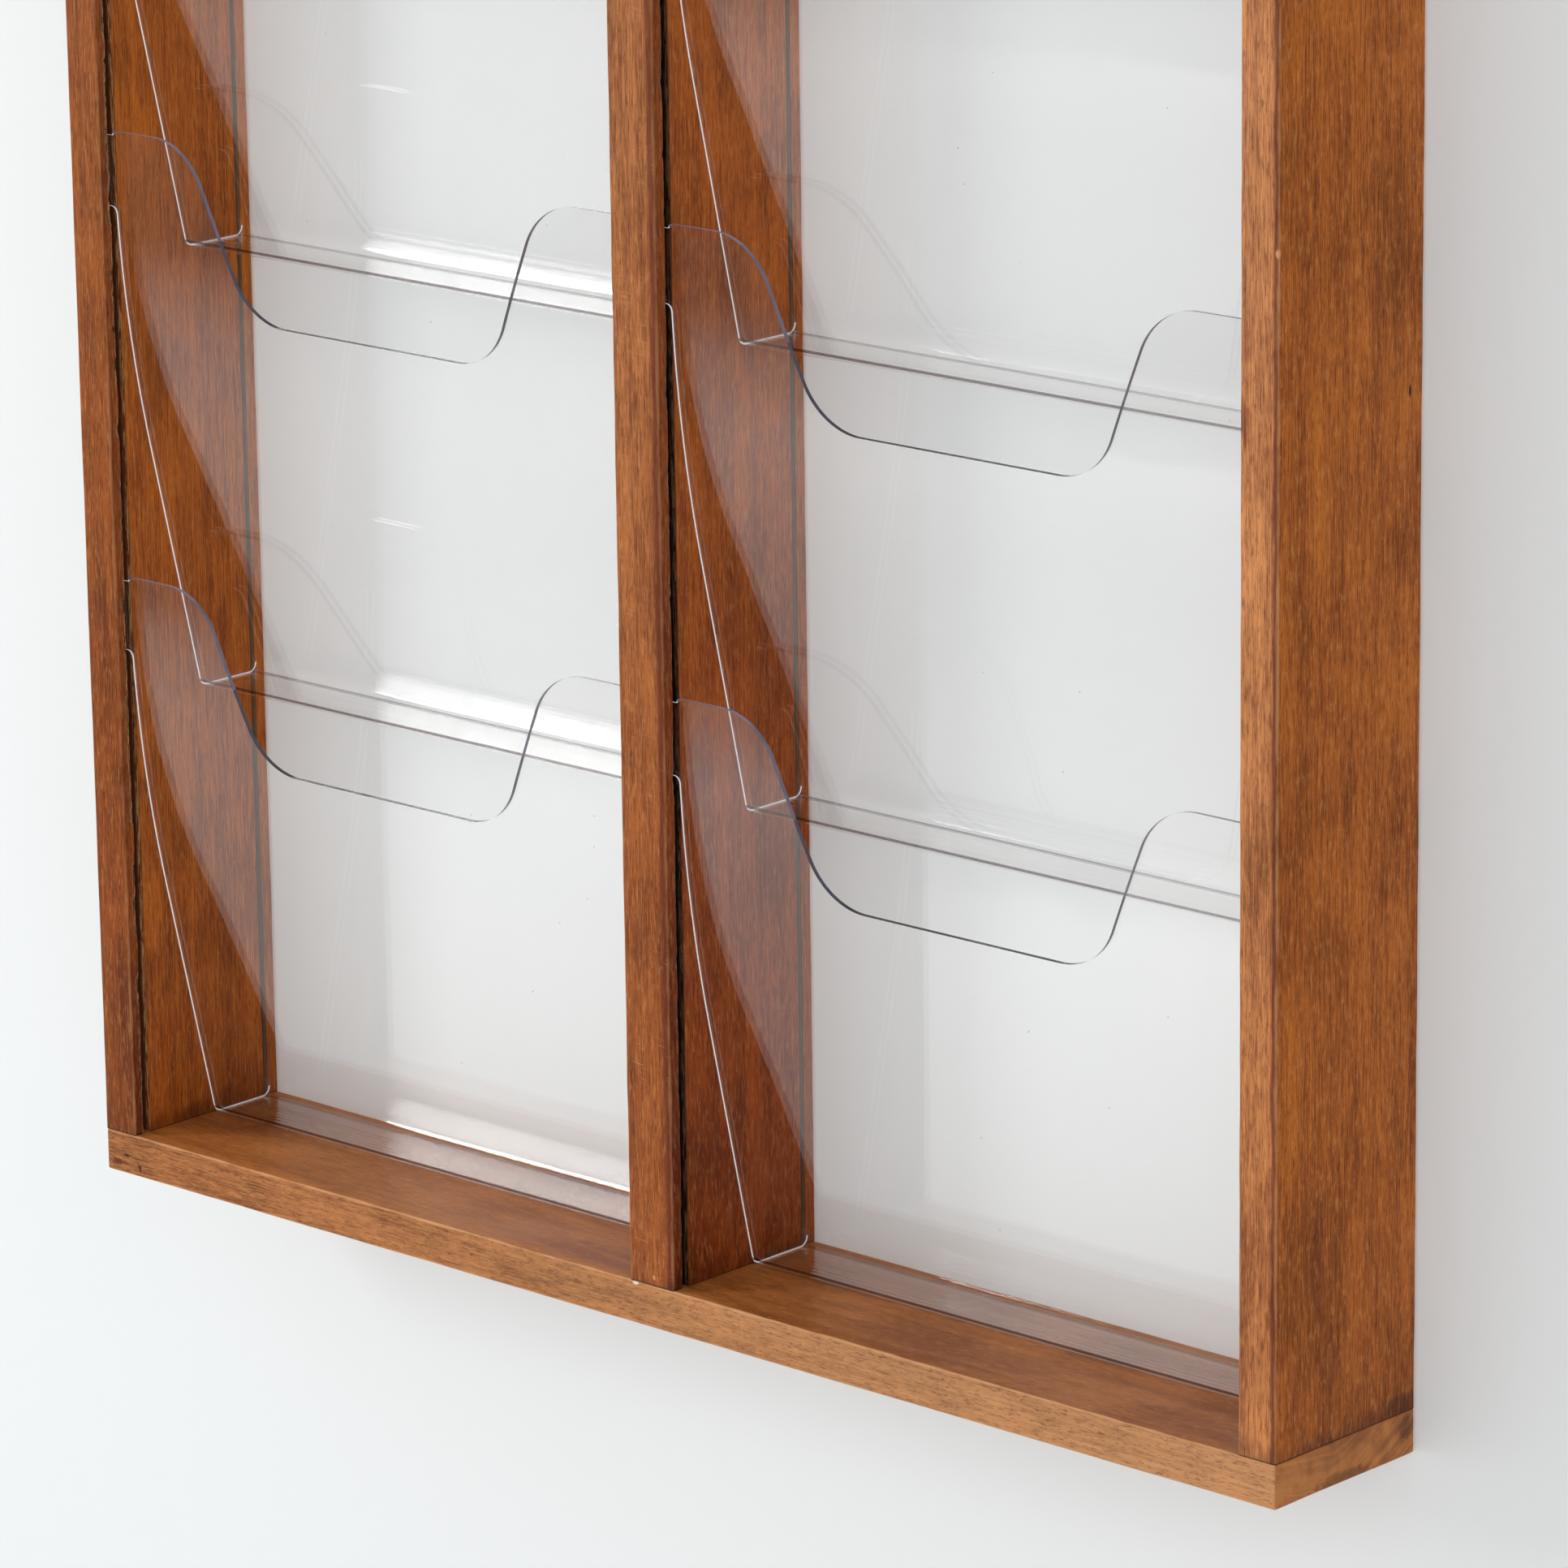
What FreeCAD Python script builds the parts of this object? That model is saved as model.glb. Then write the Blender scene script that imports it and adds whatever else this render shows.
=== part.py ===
import FreeCAD, Part
import math
import os

# A wall magazine rack: a frame of grooved beech boards that holds two columns of clear bent-sheet pockets.
# The wall is the plane Y = 0 and the rack stands out from it towards -Y. X runs to the right as seen from the
# front and Z runs up. The origin lies on the wall, midway between the two keyholes that the rack hangs from.
# All sizes are in millimetres and all angles in degrees.

# Frame boards
rack_width = 535.0
rack_depth = 70.0
side_thickness = 15.0
middle_thickness = 20.0
rail_thickness = 15.0
arris_radius = 0.8

# Grooves that guide the pockets, cut along the full length of each inner face
groove_depth = 5.0
front_lip = 4.5
front_groove_width = 3.0
rear_lip = 5.0
rear_groove_width = 2.0

# Pockets, each bent from one sheet
row_count = 4
row_pitch = 157.5
sheet_thickness = 1.5
bend_radius = 2.0
front_height = 203.0
curve_height = 113.0
lean_angle = 12.7
side_gap = 1.25
groove_end_gap = 1.25
stack_gap = 0.2
lift_gap = 30.0

# Cut outline of a pocket
dip_depth = 60.0
ear_width = 36.0
mouth_run = 26.4
mouth_radius = 25.0
ear_corner_radius = 1.0
tab_height = 25.0
tab_step = 1.5
tab_corner_radius = 1.0
tab_root_radius = 2.5
hook_radius = 3.0

# Wood screws that hold the rails to the ends of the uprights
screw_diameter = 4.0
screw_head_diameter = 8.0
screw_length = 45.0
screw_tip_length = 4.0
screw_inset = 16.0
screw_slot_width = 1.0
screw_slot_depth = 1.2
screw_clearance = 0.05

# Keyhole plates let into the rear edges of the outer uprights
hanger_drop = 85.0
plate_length = 36.0
plate_width = 12.0
plate_thickness = 1.2
plate_clearance = 0.2
keyhole_radius = 4.25
keyhole_slot_radius = 2.1
keyhole_rise = 9.0
recess_side_clearance = 0.5
recess_depth = 2.8
plate_screw_inset = 4.5
plate_screw_diameter = 2.4
plate_screw_head_diameter = 4.6
plate_screw_length = 14.0
plate_screw_tip_length = 2.5
plate_screw_slot_width = 0.7
plate_screw_slot_depth = 0.6

# Levels and places that follow from those sizes
upright_length = (row_count - 1) * row_pitch + front_height + lift_gap
upright_top = hanger_drop - rail_thickness
upright_bottom = upright_top - upright_length
rack_bottom = upright_bottom - rail_thickness
bay_width = (rack_width - 2 * side_thickness - middle_thickness) / 2
bay_centre = (middle_thickness + bay_width) / 2
side_centre = (rack_width - side_thickness) / 2
front_groove_middle = -rack_depth + front_lip + front_groove_width / 2
rear_groove_middle = -rear_lip - rear_groove_width / 2
pocket_half_width = bay_width / 2 - side_gap
tab_half_width = bay_width / 2 + groove_depth - groove_end_gap
tab_top = front_height - tab_step
tab_bottom = tab_top - tab_height

X_AXIS = FreeCAD.Vector(1, 0, 0)
Y_AXIS = FreeCAD.Vector(0, 1, 0)
Z_AXIS = FreeCAD.Vector(0, 0, 1)


def box(x_range, y_range, z_range):
    size = [high - low for low, high in (x_range, y_range, z_range)]
    corner = FreeCAD.Vector(x_range[0], y_range[0], z_range[0])
    return Part.makeBox(*size, corner)


def rounded_outline(corners):
    """Closed wire in the XZ plane through (x, z, radius) corners, each rounded by its radius."""
    edges = []
    points = [FreeCAD.Vector(x, 0, z) for x, z, radius in corners]
    starts = []
    ends = []
    for index, (x, z, radius) in enumerate(corners):
        point = points[index]
        back = (points[index - 1] - point).normalize()
        ahead = (points[(index + 1) % len(points)] - point).normalize()
        half_angle = back.getAngle(ahead) / 2
        reach = radius / math.tan(half_angle)
        start = point + back * reach
        end = point + ahead * reach
        starts.append(start)
        ends.append(end)
        if radius > 0:
            inward = (back + ahead).normalize()
            middle = point + inward * (radius / math.sin(half_angle) - radius)
            edges.append(Part.Arc(start, middle, end).toShape())
    for index in range(len(points)):
        following = (index + 1) % len(points)
        if ends[index].distanceToPoint(starts[following]) > 1e-6:
            edges.append(Part.makeLine(ends[index], starts[following]))
    return Part.Wire(Part.__sortEdges__(edges))


def mirrored(right_half):
    """The corners of a right half, bottom to top, with the same corners mirrored on the left."""
    return right_half + [(-x, z, radius) for x, z, radius in reversed(right_half)]


def prism_along_y(corners, y_from, y_to):
    face = Part.Face(rounded_outline(corners))
    face.translate(Y_AXIS * y_from)
    return face.extrude(Y_AXIS * (y_to - y_from))


def arc_point(centre, radius, angle):
    """Point of the YZ plane at an angle, measured from +Y towards +Z, on a circle about a centre."""
    turn = math.radians(angle)
    return centre + FreeCAD.Vector(0, math.cos(turn), math.sin(turn)) * radius


def arc(centre, radius, first_angle, last_angle):
    middle_angle = (first_angle + last_angle) / 2
    angles = (first_angle, middle_angle, last_angle)
    return Part.Arc(*[arc_point(centre, radius, angle) for angle in angles]).toShape()


# Side view of a bent pocket, with Z = 0 at the underside of its floor. Angles run from +Y towards +Z.
middle_bend_radius = bend_radius + sheet_thickness / 2
outer_bend_radius = bend_radius + sheet_thickness
bend_level = outer_bend_radius
curve_radius = curve_height / math.sin(math.radians(lean_angle))
tab_reach = front_height - tab_bottom
tab_sag = curve_radius - math.sqrt(curve_radius ** 2 - tab_reach ** 2)
front_top = front_groove_middle - tab_sag / 2
curve_centre = FreeCAD.Vector(0, front_top + curve_radius, front_height)
rear_bend_centre = FreeCAD.Vector(0, rear_groove_middle - middle_bend_radius, bend_level)
straight_end = arc_point(curve_centre, curve_radius, 180 + lean_angle)
straight_start_level = bend_level - middle_bend_radius * math.sin(math.radians(lean_angle))
straight_run = (straight_end.z - straight_start_level) * math.tan(math.radians(lean_angle))
front_bend_offset = middle_bend_radius * math.cos(math.radians(lean_angle))
front_bend_centre = FreeCAD.Vector(0, straight_end.y + straight_run + front_bend_offset, bend_level)
stack_drop = outer_bend_radius - math.sqrt(outer_bend_radius ** 2 - bend_radius ** 2)
back_height = row_pitch + stack_drop - stack_gap


def sheet_line(inset):
    """Edges of the pocket's side view, from the top of the back to the top of the front.

    inset moves the line from the middle of the sheet towards the inside of the pocket.
    """
    bend = middle_bend_radius - inset
    curve = curve_radius - inset
    back_top = FreeCAD.Vector(0, rear_groove_middle - inset, back_height)
    rear_bend = arc(rear_bend_centre, bend, 0, -90)
    front_bend = arc(front_bend_centre, bend, 270, 180 + lean_angle)
    front_curve = arc(curve_centre, curve, 180 + lean_angle, 180)
    return [
        Part.makeLine(back_top, arc_point(rear_bend_centre, bend, 0)),
        rear_bend,
        Part.makeLine(arc_point(rear_bend_centre, bend, -90), arc_point(front_bend_centre, bend, 270)),
        front_bend,
        Part.makeLine(
            arc_point(front_bend_centre, bend, 180 + lean_angle),
            arc_point(curve_centre, curve, 180 + lean_angle),
        ),
        front_curve,
    ]


def bent_sheet():
    """The pocket's sheet at full width, before its outline is cut."""
    half = sheet_thickness / 2
    back_top = [FreeCAD.Vector(0, rear_groove_middle + side, back_height) for side in (-half, half)]
    front_top_edge = [FreeCAD.Vector(0, front_top + side, front_height) for side in (-half, half)]
    edges = sheet_line(half) + sheet_line(-half)
    edges.append(Part.makeLine(*back_top))
    edges.append(Part.makeLine(*front_top_edge))
    face = Part.Face(Part.Wire(Part.__sortEdges__(edges)))
    face.translate(X_AXIS * -tab_half_width)
    return face.extrude(X_AXIS * 2 * tab_half_width)


def pocket():
    """One clear pocket, centred on X = 0: the bent sheet trimmed to its outline."""
    mouth_half = pocket_half_width - ear_width
    dip_half = mouth_half - mouth_run
    front_outline = mirrored([
        (pocket_half_width, 0, 0),
        (pocket_half_width, tab_bottom, tab_root_radius),
        (tab_half_width, tab_bottom, tab_corner_radius),
        (tab_half_width, tab_top, tab_corner_radius),
        (pocket_half_width, tab_top, 0),
        (pocket_half_width, front_height, ear_corner_radius),
        (mouth_half, front_height, mouth_radius),
        (dip_half, front_height - dip_depth, mouth_radius),
    ])
    back_outline = mirrored([
        (pocket_half_width, 0, 0),
        (pocket_half_width, bend_level + hook_radius, hook_radius),
        (tab_half_width, bend_level + hook_radius, tab_corner_radius),
        (tab_half_width, back_height, tab_corner_radius),
    ])
    between_panels = (front_bend_centre.y + rear_bend_centre.y) / 2
    front_template = prism_along_y(front_outline, -rack_depth, between_panels)
    back_template = prism_along_y(back_outline, between_panels, 0)
    template = front_template.fuse(back_template)
    return bent_sheet().common(template).removeSplitter()


def screw(diameter, head_diameter, length, tip_length, clearance=0.0):
    """Countersunk screw along -Z, with the top of its head at Z = 0."""
    radius = diameter / 2 + clearance
    head_radius = head_diameter / 2 + clearance
    head_height = head_radius - radius
    outline = [
        (0, 0),
        (head_radius, 0),
        (radius, -head_height),
        (radius, -length + tip_length),
        (0, -length),
    ]
    points = [FreeCAD.Vector(x, 0, z) for x, z in outline]
    profile = Part.Face(Part.makePolygon(points + points[:1]))
    return profile.revolve(FreeCAD.Vector(0, 0, 0), Z_AXIS, 360)


def slotted(blank, slot_width, slot_depth, head_diameter):
    half_head = head_diameter / 2
    slot = box((-half_head, half_head), (-slot_width / 2, slot_width / 2), (-slot_depth, 0))
    return blank.cut(slot)


def placed(shape, position, turn_about_x=0.0):
    copy = shape.copy()
    copy.rotate(FreeCAD.Vector(0, 0, 0), X_AXIS, turn_about_x)
    copy.translate(FreeCAD.Vector(*position))
    return copy


# Wood screws stand in pairs at each end of each upright, heads outward
upright_places = {"left": -side_centre, "middle": 0.0, "right": side_centre}
end_places = {"bottom": (rack_bottom, 180.0), "top": (hanger_drop, 0.0)}
screw_rows = (-rack_depth + screw_inset, -screw_inset)


def wood_screws(shape, x):
    """Copies of a screw shape at every end of the upright at x, by end name."""
    copies = {}
    for end, (level, turn) in end_places.items():
        copies[end] = [placed(shape, (x, y, level), turn) for y in screw_rows]
    return copies


wood_screw = screw(screw_diameter, screw_head_diameter, screw_length, screw_tip_length)
wood_screw_hole = screw(
    screw_diameter, screw_head_diameter, screw_length, screw_tip_length, screw_clearance
)
wood_screw_hole = wood_screw_hole.fuse(placed(wood_screw_hole, (0, 0, -screw_clearance)))
drive_slotted_screw = slotted(wood_screw, screw_slot_width, screw_slot_depth, screw_head_diameter)
hole_cutters = {side: wood_screws(wood_screw_hole, x) for side, x in upright_places.items()}


def eased_board(x_range, z_range, long_axis):
    """Board of the rack's depth, with its arrises eased along one axis, or all of them where none is given."""
    board = box(x_range, (-rack_depth, 0), z_range)
    edges = board.Edges
    if long_axis is not None:
        edges = [edge for edge in edges if abs(edge.tangentAt(0).dot(long_axis)) > 0.5]
    return board.makeFillet(arris_radius, edges)


def grooves(face_x, inward):
    """The front and rear groove of one upright face, cut from face_x in the direction inward."""
    x_range = sorted((face_x, face_x + inward * groove_depth))
    z_range = (upright_bottom, upright_top)
    cuts = []
    for middle, width in (
        (front_groove_middle, front_groove_width),
        (rear_groove_middle, rear_groove_width),
    ):
        cuts.append(box(x_range, (middle - width / 2, middle + width / 2), z_range))
    return cuts


def upright(side, thickness, grooved_faces):
    x = upright_places[side]
    board = eased_board((x - thickness / 2, x + thickness / 2), (upright_bottom, upright_top), Z_AXIS)
    cuts = []
    for direction in grooved_faces:
        cuts += grooves(x + direction * thickness / 2, -direction)
    for end in end_places:
        cuts += hole_cutters[side][end]
    return board.cut(cuts)


def rail(end, z_range):
    board = eased_board((-rack_width / 2, rack_width / 2), z_range, None)
    cuts = []
    for side in upright_places:
        cuts += hole_cutters[side][end]
    return board.cut(cuts)


# Keyhole plates: the keyhole is centred on the plate, with its entry at Z = 0 and its narrow slot above
keyhole_top = keyhole_rise + keyhole_slot_radius
plate_middle = (keyhole_top - keyhole_radius) / 2
plate_screw_levels = [
    plate_middle + sign * (plate_length / 2 - plate_screw_inset) for sign in (-1, 1)
]


def capsule(width, low, high, y_from, y_to):
    """Upright bar with round ends, between two levels."""
    half = width / 2
    corners = [(half, low, half), (half, high, half), (-half, high, half), (-half, low, half)]
    return prism_along_y(corners, y_from, y_to)


plate_screw = screw(
    plate_screw_diameter, plate_screw_head_diameter, plate_screw_length, plate_screw_tip_length
)
plate_screw_hole = screw(
    plate_screw_diameter,
    plate_screw_head_diameter,
    plate_screw_length,
    plate_screw_tip_length,
    screw_clearance,
)
plate_screw_hole = plate_screw_hole.fuse(placed(plate_screw_hole, (0, 0, -screw_clearance)))
slotted_plate_screw = slotted(
    plate_screw, plate_screw_slot_width, plate_screw_slot_depth, plate_screw_head_diameter
)


def plate_screws(shape, x):
    """Copies of a screw shape in the two holes of the plate at x, heads towards the wall."""
    return [placed(shape, (x, 0, level), -90.0) for level in plate_screw_levels]


def hanger_plate(x):
    low = plate_middle - plate_length / 2
    high = plate_middle + plate_length / 2
    plate = capsule(plate_width, low, high, -plate_thickness, 0)
    entry = Part.makeCylinder(keyhole_radius, plate_thickness, FreeCAD.Vector(0, 0, 0), -Y_AXIS)
    slot = capsule(
        2 * keyhole_slot_radius, -keyhole_slot_radius, keyhole_top, -plate_thickness, 0
    )
    plate = plate.cut([entry, slot]).removeSplitter()
    return placed(plate, (x, 0, 0)).cut(plate_screws(plate_screw_hole, x))


def hanger_recess(x):
    """Seat for a plate and, behind its keyhole, room for the head of the wall screw."""
    low = plate_middle - plate_length / 2 - plate_clearance
    high = plate_middle + plate_length / 2 + plate_clearance
    seat = capsule(plate_width + 2 * plate_clearance, low, high, -plate_thickness, 0)
    head_half = keyhole_radius + recess_side_clearance
    head_room = capsule(
        2 * head_half, -head_half, keyhole_rise + head_half, -plate_thickness - recess_depth, 0
    )
    return placed(seat.fuse(head_room), (x, 0, 0))


def outer_upright(side, inner_direction):
    x = upright_places[side]
    board = upright(side, side_thickness, (inner_direction,))
    return board.cut([hanger_recess(x)] + plate_screws(plate_screw_hole, x))


nodes = {
    "left_upright": outer_upright("left", 1),
    "middle_upright": upright("middle", middle_thickness, (-1, 1)),
    "right_upright": outer_upright("right", -1),
    "bottom_rail": rail("bottom", (rack_bottom, upright_bottom)),
    "top_rail": rail("top", (upright_top, hanger_drop)),
}

blank_pocket = pocket()
for column, x in (("left", -bay_centre), ("right", bay_centre)):
    for row in range(row_count):
        level = upright_bottom + row * row_pitch
        nodes[f"{column}_pocket_{row + 1}"] = placed(blank_pocket, (x, 0, level))

for side, x in upright_places.items():
    for end, screws in wood_screws(drive_slotted_screw, x).items():
        nodes[f"{end}_{side}_screws"] = Part.makeCompound(screws)

for side in ("left", "right"):
    x = upright_places[side]
    nodes[f"{side}_hanger_plate"] = hanger_plate(x)
    nodes[f"{side}_hanger_screws"] = Part.makeCompound(plate_screws(slotted_plate_screw, x))

os.makedirs("parts", exist_ok=True)
for name, shape in nodes.items():
    shape.exportStep(f"parts/{name}.step")
    box_of_node = shape.BoundBox
    print(f"{name}: {len(shape.Solids)} solid(s), {shape.Volume:.0f} mm3, valid {shape.isValid()},"
          f" Z {box_of_node.ZMin:.1f} to {box_of_node.ZMax:.1f}")
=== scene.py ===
import cmath
import math
from dataclasses import dataclass

import bmesh
import bpy
from mathutils import Matrix, Vector, noise
from mathutils.geometry import delaunay_2d_cdt


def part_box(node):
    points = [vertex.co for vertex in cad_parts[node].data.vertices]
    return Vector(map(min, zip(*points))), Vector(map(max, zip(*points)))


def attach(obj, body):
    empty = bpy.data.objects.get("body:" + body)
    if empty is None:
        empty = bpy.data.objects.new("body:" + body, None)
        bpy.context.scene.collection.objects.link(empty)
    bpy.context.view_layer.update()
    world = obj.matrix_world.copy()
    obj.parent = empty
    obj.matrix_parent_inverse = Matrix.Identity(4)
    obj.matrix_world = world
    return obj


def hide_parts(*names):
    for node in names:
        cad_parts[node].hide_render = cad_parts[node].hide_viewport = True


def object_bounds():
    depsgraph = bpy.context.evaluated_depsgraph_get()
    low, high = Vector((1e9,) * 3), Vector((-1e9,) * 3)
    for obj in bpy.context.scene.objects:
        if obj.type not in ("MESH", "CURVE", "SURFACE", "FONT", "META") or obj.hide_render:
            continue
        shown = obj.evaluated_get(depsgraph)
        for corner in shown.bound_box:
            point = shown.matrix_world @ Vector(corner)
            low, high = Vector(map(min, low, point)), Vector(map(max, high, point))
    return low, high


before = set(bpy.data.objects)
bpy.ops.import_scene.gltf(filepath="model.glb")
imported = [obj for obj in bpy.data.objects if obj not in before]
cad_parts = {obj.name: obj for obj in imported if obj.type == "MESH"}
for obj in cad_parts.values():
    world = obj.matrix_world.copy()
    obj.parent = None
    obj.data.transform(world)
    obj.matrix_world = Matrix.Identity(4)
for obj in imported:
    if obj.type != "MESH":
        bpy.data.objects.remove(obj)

# The looks of a wall magazine rack: worn, stained beech boards, clear bent pockets and steel fixings, in
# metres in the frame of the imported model. The wall is Y = 0, the front faces -Y and Z runs up.

MM = 0.001
scene = bpy.context.scene
cad_low, cad_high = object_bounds()

# Viewpoint
view_azimuth = math.radians(42.8)
view_elevation = math.radians(15.18)
view_roll = math.radians(0.78)
view_place = Vector((1.7245, -1.8641, 0.2122))
focal_length_mm = 180.6
sensor_width_mm = 36.0

# Boards
arris_radius = 0.8 * MM
groove_depth = 5.0 * MM
front_lip = 4.5 * MM
front_groove_width = 3.0 * MM
rear_lip = 5.0 * MM
rear_groove_width = 2.0 * MM
station_step = 1.2 * MM
smooth_angle = math.radians(38)

# Wood screws through the rails
screw_inset = 16.0 * MM
screw_hole_radius = 2.05 * MM
countersink_radius = 4.05 * MM

# Keyhole plates in the rear edges of the outer uprights
plate_thickness = 1.2 * MM
plate_clearance = 0.2 * MM
keyhole_room_radius = 4.75 * MM
keyhole_rise = 9.0 * MM
recess_depth = 2.8 * MM

# Clear pockets
sheet_thickness = 1.5 * MM
bend_radius = 2.0 * MM
curve_height = 113.0 * MM
lean_angle = math.radians(12.7)
back_height = 157.93 * MM
pocket_half = 120.0 * MM
dip_depth = 60.0 * MM
ear_width = 36.0 * MM
mouth_run = 26.4 * MM
mouth_radius = 25.0 * MM
ear_corner_radius = 1.0 * MM
tab_height = 25.0 * MM
tab_step = 1.5 * MM
tab_corner_radius = 1.0 * MM
tab_root_radius = 2.5 * MM
hook_radius = 3.0 * MM
sheet_grid = 8.0 * MM
bend_grid = 0.45 * MM
outline_step = 1.2 * MM
grid_margin = 0.4 * MM
frosted_share = 0.4
bend_guard = 0.3 * MM
formed_reach = 8.5 * MM
# Shares of the front and the rear bend whose outer face carries the painted shade of a fold
front_fold_from = 0.75
rear_fold_from = 0.6
rear_fold_to = 0.8
rest_gap = 0.1 * MM


# Shader building


def arithmetic(operation, swapped=False):
    """Operator of a Field, which adds a Math node."""
    def add_node(self, other):
        first, second = (other, self) if swapped else (self, other)
        return self.finish.node("Math", {"operation": operation}, {0: first, 1: second})

    return add_node


class Field:
    """A shader value. Arithmetic on it adds Math nodes to its finish."""

    def __init__(self, finish, socket):
        self.finish, self.socket = finish, socket

    __add__ = arithmetic("ADD")
    __radd__ = arithmetic("ADD", swapped=True)
    __sub__ = arithmetic("SUBTRACT")
    __rsub__ = arithmetic("SUBTRACT", swapped=True)
    __mul__ = arithmetic("MULTIPLY")
    __truediv__ = arithmetic("DIVIDE")
    __pow__ = arithmetic("POWER")
    least = arithmetic("MINIMUM")
    most = arithmetic("MAXIMUM")

    def from_ends(self, low, high):
        """Distance to the nearer of two ends."""
        return (self - low).least(high - self)

    def other(self, output):
        """Another output of the same node."""
        return Field(self.finish, self.socket.node.outputs[output])


class Finish:
    """Nodes of a new material, or of a new world, under construction."""

    def __init__(self, name, owners="materials"):
        self.owner = getattr(bpy.data, owners).new(name)
        self.owner.use_nodes = True
        self.tree = self.owner.node_tree
        self.tree.nodes.clear()

    def node(self, kind, settings=None, sockets=None, output=0):
        """Adds a node, sets it up, then fills its sockets with values or links."""
        made = self.tree.nodes.new("ShaderNode" + kind)
        for name, value in (settings or {}).items():
            setattr(made, name, value)
        for key, value in (sockets or {}).items():
            if isinstance(value, Field):
                self.tree.links.new(value.socket, made.inputs[key])
            else:
                made.inputs[key].default_value = value
        return Field(self, made.outputs[output]) if made.outputs else None

    def place(self):
        """X, Y and Z of a point of the piece, in metres."""
        point = self.node("TexCoord", output="Object")
        return [self.node("SeparateXYZ", {}, {0: point}, output=axis) for axis in range(3)]

    def facing(self, axis):
        """1 where a face looks along an axis, -1 where it looks the other way."""
        normal = self.node("NewGeometry", output="True Normal")
        return self.node("SeparateXYZ", {}, {0: normal}, output=axis)

    def vector(self, x, y, z):
        return self.node("CombineXYZ", {}, {0: x, 1: y, 2: z})

    def spread(self, size, size_y=None, size_z=None):
        """Place of a point, counted in features of one size, or of a size along each axis."""
        x, y, z = self.place()
        return self.vector(x / size, y / (size_y or size), z / (size_z or size))

    def grain(self, vector, detail=2.0, roughness=0.5):
        """Noise from 0 to 1 whose features are about one unit of the vector."""
        sockets = {"Vector": vector, "Scale": 1.0, "Detail": detail, "Roughness": roughness}
        return self.node("TexNoise", {}, sockets)

    def step(self, value, low, high):
        """0 below low and 1 above high, with a smooth change between."""
        settings = {"interpolation_type": "SMOOTHSTEP", "clamp": True}
        return self.node("MapRange", settings, {"Value": value, "From Min": low, "From Max": high})

    def blend(self, share, first, second, blend_type="MIX"):
        """Colour that goes from first to second with share."""
        settings = {"data_type": "RGBA", "blend_type": blend_type, "clamp_factor": True}
        return self.node("Mix", settings, {0: share, 6: first, 7: second}, output=2)

    def bump(self, height, strength, distance):
        return self.node("Bump", {}, {"Strength": strength, "Distance": distance, "Height": height})

    def seen(self):
        """1 for rays of the camera or of a reflection, 0 for light's own."""
        kinds = ("Camera", "Glossy", "Transmission")
        camera, glossy, through = [self.node("LightPath", output=f"Is {kind} Ray") for kind in kinds]
        return camera.most(glossy).most(through)

    def surface(self, shader, kind="Material"):
        """Ends the nodes with their output and gives back what they belong to."""
        self.node(f"Output{kind}", {}, {"Surface": shader})
        return self.owner


def tone(red, green, blue):
    """Linear colour from the 0 to 255 values of a display."""
    shares = [value / 255 for value in (red, green, blue)]
    linear = [part / 12.92 if part <= 0.04045 else ((part + 0.055) / 1.055) ** 2.4 for part in shares]
    return (*linear, 1.0)


white = (1.0, 1.0, 1.0, 1.0)


# Stained beech

fleck_brown = tone(58, 20, 6)
fleck_gold = tone(214, 148, 84)
groove_painted_shade = tone(26, 13, 7)
rear_groove_grey = tone(140, 128, 108)
raw_wood = tone(190, 142, 96)
raw_wood_dark = tone(36, 18, 9)
worn_pale = tone(214, 158, 110)
chip_pale = tone(240, 226, 206)
# The next two colours, besides dark joints and red stain, paint shade into the rail's chips
dark_joint_and_painted_shade = tone(38, 18, 10)
red_stain_and_painted_shade = tone(96, 34, 14)
ink_black = tone(18, 12, 10)
aged_varnish = (0.75, 0.57, 0.34, 1.0)
late_wood = (0.56, 0.47, 0.42)
early_wood = (1.4, 1.46, 1.5)

# Patterns of its grain: width, length, shift against the others, detail and roughness
bow_pattern = (26 * MM, 120 * MM, 0.0, 2.0, 0.5)
fibre_pattern = (0.4 * MM, 15 * MM, 0.0, 2.0, 0.62)
streak_pattern = (1.2 * MM, 60 * MM, 23.0, 3.0, 0.62)
band_pattern = (8 * MM, 260 * MM, 7.0, 1.0, 0.5)
cloud_pattern = (9 * MM, 48 * MM, 17.0, 3.0, 0.6)
mottle_pattern = (1.6 * MM, 5 * MM, 53.0, 4.0, 0.7)
rub_pattern = (3 * MM, 16 * MM, 3.0, 3.0, 0.6)
strand_pattern = (0.38 * MM, 6 * MM, 11.0, 2.0, 0.65)
ring_size = (1.7 * MM, 400 * MM)
ring_waver = 10 * MM
pore_width = 0.36 * MM
glint_stretch = 1.4
blotch_size = 42 * MM
pool_size = 12 * MM

# How much each feature darkens or brightens the wood
fibre_weight = 1.5
streak_weight = 0.6
cloud_weight = 0.75
blotch_weight = 0.75
band_weight = 0.4
ring_weight = 0.35
end_ring_weight = 0.6

# Part of the noise, from 0 to 1, over which a feature comes in
pore_range = (0.6, 0.67)
glint_range = (0.59, 0.7)
mottle_dark_range = (0.5, 0.68)
mottle_pale_range = (0.34, 0.46)
scratch_range = (0.64, 0.74)
scratched_range = (0.46, 0.64)
raw_range = (0.42, 0.6)
shred_range = (0.44, 0.58)

# How strongly a layer covers those below it
pore_cover = 0.42
glint_cover = 0.3
end_cover = 0.14
foot_cover = 0.25
lip_cover = 0.55
bleach_cover = 0.8
strip_cover = 0.75
pool_cover = 0.5
seam_cover = 0.85

# Distances from the foot of an upright
foot_height = 95 * MM
foot_waver = 90 * MM
aged_below = 90 * MM
fresh_above = 390 * MM


@dataclass
class Mark:
    """Spot on a board: middle and half sizes in millimetres, colour and strength."""

    middle: tuple
    half_sizes: tuple
    colour: tuple
    strength: float


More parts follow.
